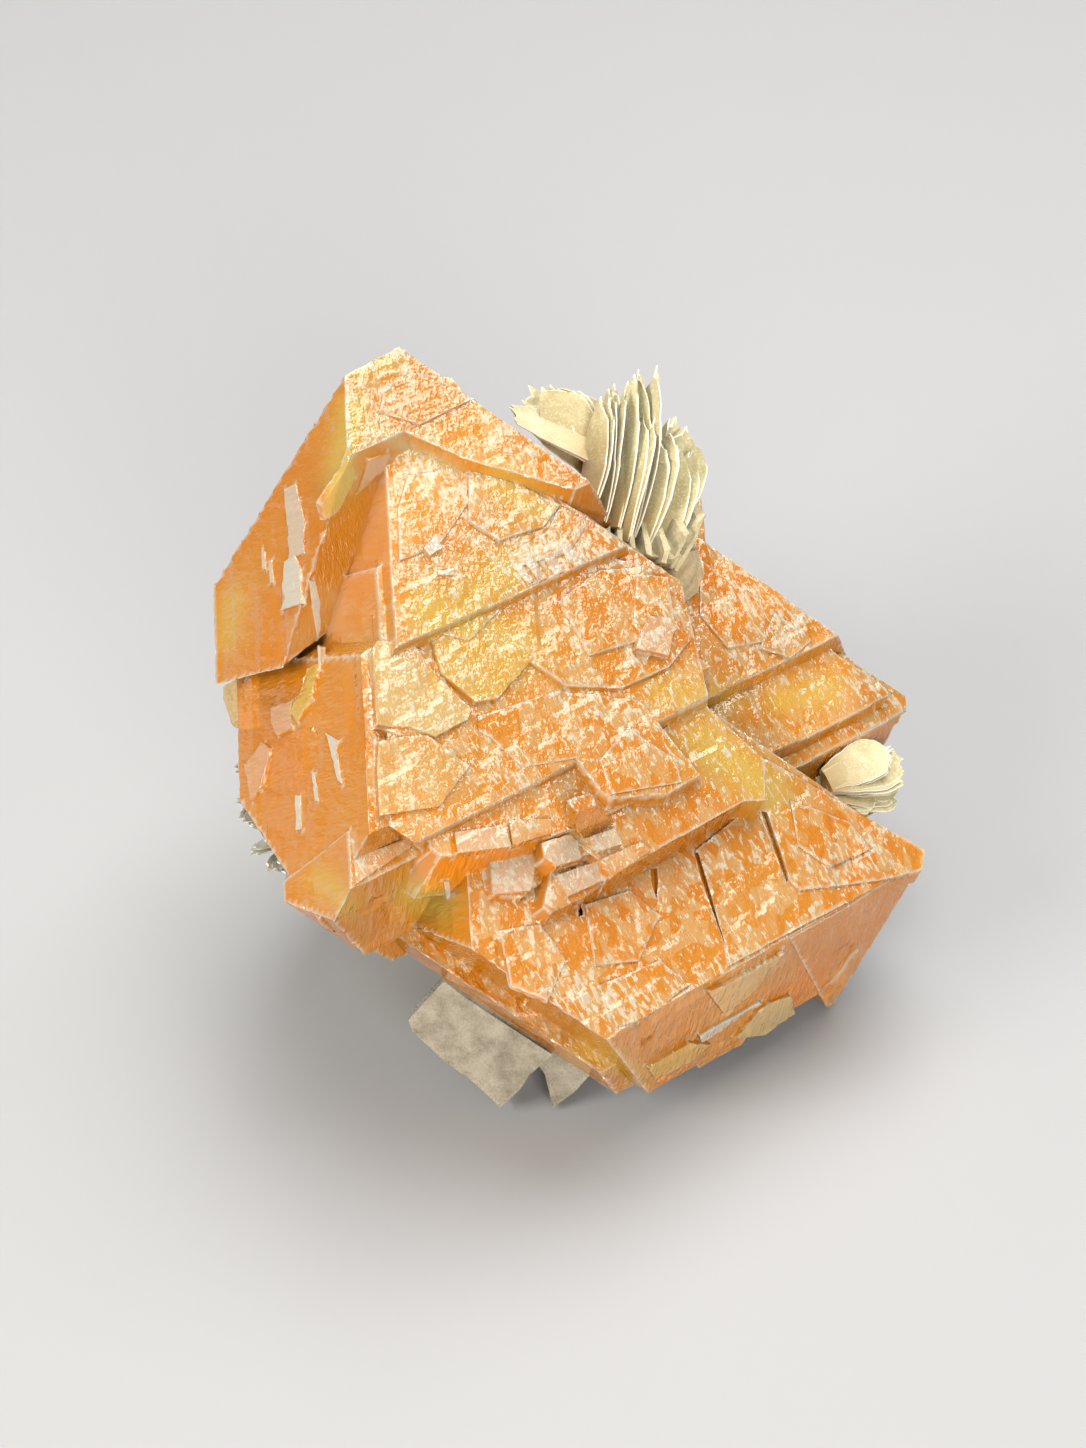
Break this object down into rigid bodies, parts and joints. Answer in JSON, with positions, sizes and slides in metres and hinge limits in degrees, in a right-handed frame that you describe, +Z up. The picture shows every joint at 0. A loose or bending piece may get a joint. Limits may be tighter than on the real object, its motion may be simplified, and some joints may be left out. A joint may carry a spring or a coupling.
{
  "type": "scheelite mineral specimen",
  "caption": "Amber scheelite crystals grown in parallel on pale leafy mica; a natural mineral specimen that rests on its matrix.",
  "frame": {"origin": "centre of the bounding box in plan, on the level that the specimen rests on", "axes": "+Z up as it rests; -Y towards the viewer, who looks down on the front faces from 40 degrees"},
  "size_m": [0.0604, 0.0572, 0.0524],
  "materials": {
    "scheelite": "translucent amber, etched on the front faces",
    "mica_matrix": "pearly, leafy",
    "mica_right": "pearly, leafy",
    "mica_front": "pearly, leafy"
  },
  "bodies": {
    "root": {"scheelite": "scheelite", "mica_matrix": "mica_matrix", "mica_right": "mica_right", "mica_front": "mica_front"}
  },
  "joints": []
}
